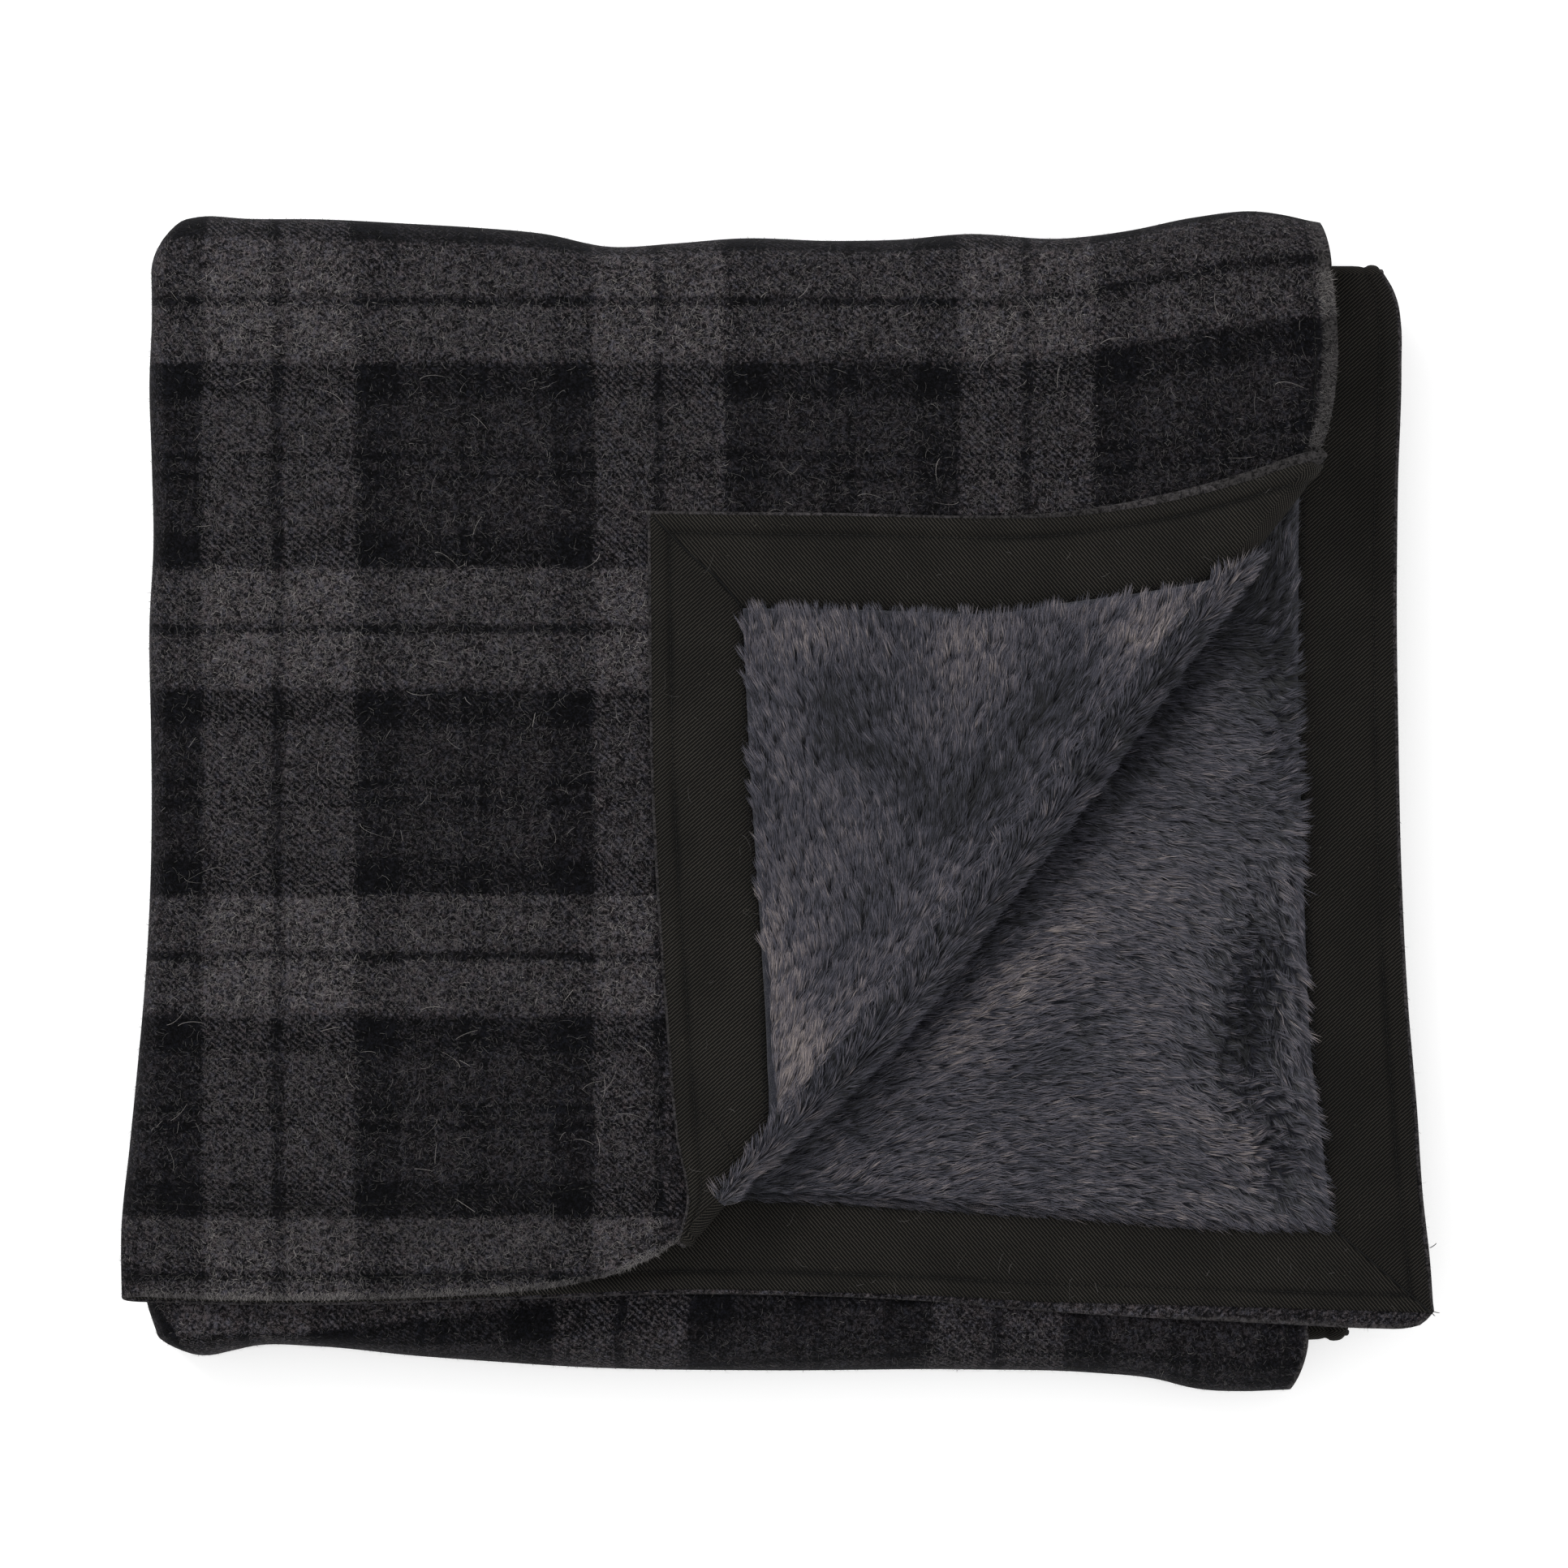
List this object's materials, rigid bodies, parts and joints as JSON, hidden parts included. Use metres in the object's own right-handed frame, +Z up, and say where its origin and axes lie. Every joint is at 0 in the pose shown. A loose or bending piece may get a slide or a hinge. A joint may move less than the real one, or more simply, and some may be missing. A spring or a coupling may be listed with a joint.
{
  "type": "camp blanket",
  "caption": "Folded camp blanket with a plaid wool face, long-pile lining and mitred twill facing bands; its folds and turned-back corner open.",
  "frame": {"origin": "on the ground in the middle of the resting face of the folded blanket", "axes": "+X to the free edges on the right, +Y to the back fold, +Z up"},
  "size_m": [0.6879, 0.6106, 0.0903],
  "materials": {
    "plaid_wool": "brushed wool twill, dark grey plaid",
    "pile_lining": "long soft pile, blue-grey",
    "twill_facing": "fine black twill",
    "sewing_thread": "matt sewing thread"
  },
  "bodies": {
    "base_fold": {"base_band_back": "twill_facing", "base_band_right_lower": "twill_facing", "base_band_right_upper": "twill_facing", "base_edge_seam": "sewing_thread", "base_lining": "pile_lining", "base_topstitch": "sewing_thread", "base_wool": "plaid_wool", "front_fold_inner_band": "twill_facing", "front_fold_inner_lining": "pile_lining", "front_fold_inner_wool": "plaid_wool", "front_fold_outer_band": "twill_facing", "front_fold_outer_lining": "pile_lining", "front_fold_outer_wool": "plaid_wool"},
    "middle_fold": {"back_fold_inner_band": "twill_facing", "back_fold_inner_lining": "pile_lining", "back_fold_inner_wool": "plaid_wool", "back_fold_outer_band": "twill_facing", "back_fold_outer_lining": "pile_lining", "back_fold_outer_wool": "plaid_wool", "middle_band_right_lower": "twill_facing", "middle_band_right_upper": "twill_facing", "middle_edge_seam": "sewing_thread", "middle_lining": "pile_lining", "middle_topstitch": "sewing_thread", "middle_wool": "plaid_wool"},
    "top_fold": {"crease_band_front": "twill_facing", "crease_band_right": "twill_facing", "crease_lining": "pile_lining", "crease_wool": "plaid_wool", "top_band_front": "twill_facing", "top_band_right_lower": "twill_facing", "top_band_right_upper": "twill_facing", "top_edge_seam": "sewing_thread", "top_lining": "pile_lining", "top_mitre_seam": "sewing_thread", "top_topstitch": "sewing_thread", "top_wool": "plaid_wool"},
    "turned_corner": {"corner_band_front": "twill_facing", "corner_band_right": "twill_facing", "corner_edge_seam": "sewing_thread", "corner_lining": "pile_lining", "corner_mitre_seam": "sewing_thread", "corner_topstitch": "sewing_thread", "corner_wool": "plaid_wool"}
  },
  "joints": [
    {"name": "front_fold_opens", "type": "hinge", "parent": "base_fold", "child": "middle_fold", "pos_m": [0, -0.2804, 0.0241], "axis": [1, 0, 0], "range_deg": [0, 179.8], "deforming": ["front_fold_inner_band", "front_fold_inner_lining", "front_fold_inner_wool", "front_fold_outer_band", "front_fold_outer_lining", "front_fold_outer_wool"]},
    {"name": "back_fold_opens", "type": "hinge", "parent": "middle_fold", "child": "top_fold", "pos_m": [0, 0.2821, 0.0483], "axis": [-1, 0, 0], "range_deg": [0, 179.8], "deforming": ["back_fold_inner_band", "back_fold_inner_lining", "back_fold_inner_wool", "back_fold_outer_band", "back_fold_outer_lining", "back_fold_outer_wool"]},
    {"name": "corner_opens", "type": "hinge", "parent": "top_fold", "child": "turned_corner", "pos_m": [-0.053, -0.2304, 0.0754], "axis": [0.6297, 0.7768, 0], "range_deg": [0, 179.8], "deforming": ["crease_band_front", "crease_band_right", "crease_lining", "crease_wool"]}
  ]
}
